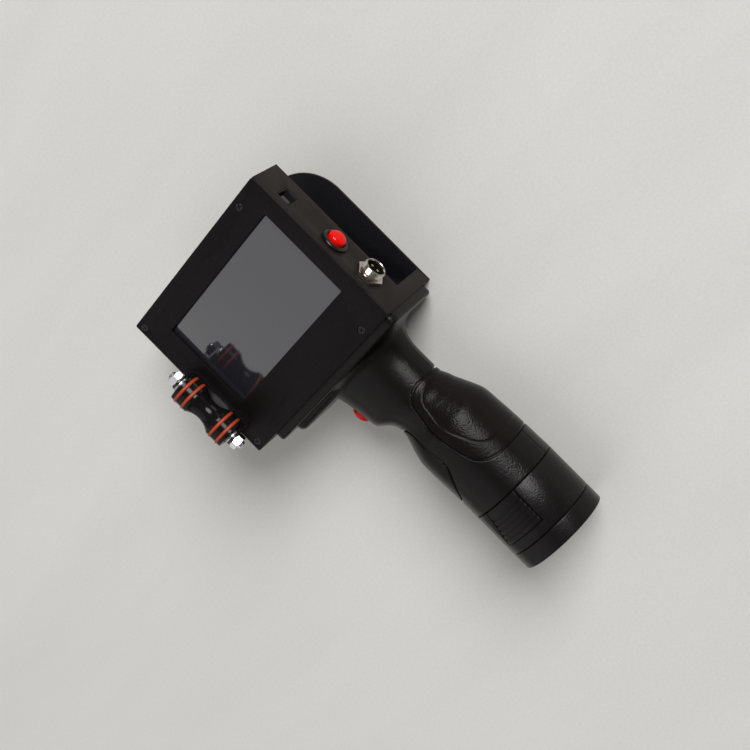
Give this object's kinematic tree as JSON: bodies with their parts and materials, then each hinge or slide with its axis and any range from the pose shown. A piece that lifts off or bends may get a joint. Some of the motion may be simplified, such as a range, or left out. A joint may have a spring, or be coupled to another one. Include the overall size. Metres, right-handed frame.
{
  "type": "handheld date code inkjet printer",
  "caption": "Handheld inkjet date coder: flat head with touch screen, open cartridge bay and waisted guide roller, pistol grip with push trigger and a slide-off battery pack.",
  "frame": {"origin": "centre of the head's flat back plate, on its outer face; the printer lies on its back with the screen up", "axes": "+Z is the screen's outward normal, +X points to the side with the data port, power button and charging socket, -X is the print side, +Y is the head's free end and -Y the grip and battery end"},
  "size_m": [0.1321, 0.2395, 0.0761],
  "materials": {
    "panel_paint": "satin black powder coat",
    "case_paint": "matt black powder coat",
    "screen_glass": "gloss",
    "lcd": "satin",
    "black_rubber": "matt",
    "screw_black": "black oxide",
    "board_green": "solder mask",
    "board_blue": "solder mask",
    "chip_black": "matt",
    "brass": "satin",
    "zinc_steel": "zinc plated",
    "nickel": "polished nickel",
    "chrome": "bright chrome",
    "insulator": "moulded",
    "port_tongue": "moulded",
    "red_cap": "gloss moulded",
    "bezel": "semi-gloss moulded",
    "stall": "moulded",
    "cartridge": "moulded",
    "cartridge_lid": "moulded",
    "roller_black": "turned acetal",
    "ring_orange": "moulded O-ring",
    "grip_plastic": "semi-gloss with leather grain",
    "grip_soft": "satin with leather grain",
    "battery_plastic": "semi-gloss with spark grain",
    "cell_wrap": "heat-shrink film",
    "nickel_strip": "nickel strip",
    "wire": "insulation"
  },
  "bodies": {
    "root": {"front_panel": "panel_paint", "screen_glass": "screen_glass", "screen_gasket": "black_rubber", "lcd_module": "lcd", "head_housing": "case_paint", "back_plate": "case_paint", "print_face_plate": "case_paint", "panel_screws": "screw_black", "back_plate_screws": "screw_black", "main_board": "board_green", "board_chips": "chip_black", "board_spacers": "brass", "board_screws": "zinc_steel", "driver_board": "board_blue", "data_port_shell": "zinc_steel", "data_port_tongue": "port_tongue", "power_button_bezel": "bezel", "power_button_nut": "zinc_steel", "power_switch_body": "chip_black", "power_button_spring": "zinc_steel", "charge_socket_shell": "nickel", "charge_socket_nut": "nickel", "charge_socket_insulator": "insulator", "charge_socket_pins": "brass", "cartridge_stall": "stall", "contact_block": "chip_black", "contact_pins": "brass", "retaining_spring": "zinc_steel", "roller_bracket": "case_paint", "bracket_screws": "screw_black", "roller_shaft": "chrome", "roller_washers": "zinc_steel", "shaft_nuts": "chrome", "grip_shell_front": "grip_plastic", "grip_shell_rear": "grip_plastic", "palm_pad": "grip_soft", "finger_pad": "grip_soft", "flange_screws": "zinc_steel", "grip_screws": "screw_black", "trigger_guide": "chip_black", "trigger_switch": "chip_black", "trigger_spring": "zinc_steel", "grip_contact_block": "chip_black", "grip_contacts": "brass", "grip_loom": "wire"},
    "roller": {"roller_hub": "roller_black", "roller_rings": "ring_orange", "roller_bushes": "brass"},
    "power_button": {"power_button_cap": "red_cap"},
    "trigger": {"trigger_button": "red_cap"},
    "battery": {"battery_shell": "battery_plastic", "battery_end_cap": "battery_plastic", "battery_cells": "cell_wrap", "battery_links": "nickel_strip", "battery_contacts": "brass"},
    "tab_front": {"release_tab_front": "battery_plastic"},
    "tab_rear": {"release_tab_rear": "battery_plastic"},
    "cartridge": {"cartridge_body": "cartridge", "cartridge_lid": "cartridge_lid", "cartridge_nozzle_plate": "brass"}
  },
  "joints": [
    {"name": "roller_spin", "type": "hinge", "parent": "root", "child": "roller", "pos_m": [-0.056, -0.0132, 0.067], "axis": [0, 1, 0], "continuous": true},
    {"name": "power_press", "type": "slide", "parent": "root", "child": "power_button", "axis": [-1, 0, 0], "range_m": [0, 0.002], "stiffness_N_per_m": 200, "deforming": ["power_button_spring"]},
    {"name": "trigger_press", "type": "slide", "parent": "root", "child": "trigger", "axis": [1, 0, 0], "range_m": [0, 0.0015], "stiffness_N_per_m": 250, "deforming": ["trigger_spring"]},
    {"name": "battery_slide", "type": "slide", "parent": "root", "child": "battery", "axis": [0, -1, 0], "range_m": [0, 0.06]},
    {"name": "tab_front_press", "type": "hinge", "parent": "battery", "child": "tab_front", "pos_m": [0.0269, -0.175, 0.053], "axis": [-1, 0, 0], "range_deg": [0, 2.5], "stiffness_Nm_per_rad": 0.04},
    {"name": "tab_rear_press", "type": "hinge", "parent": "battery", "child": "tab_rear", "pos_m": [0.0269, -0.175, 0.002], "axis": [1, 0, 0], "range_deg": [0, 2.5], "stiffness_Nm_per_rad": 0.04},
    {"name": "cartridge_slide", "type": "slide", "parent": "root", "child": "cartridge", "axis": [1, 0, 0], "range_m": [0, 0.118]}
  ]
}
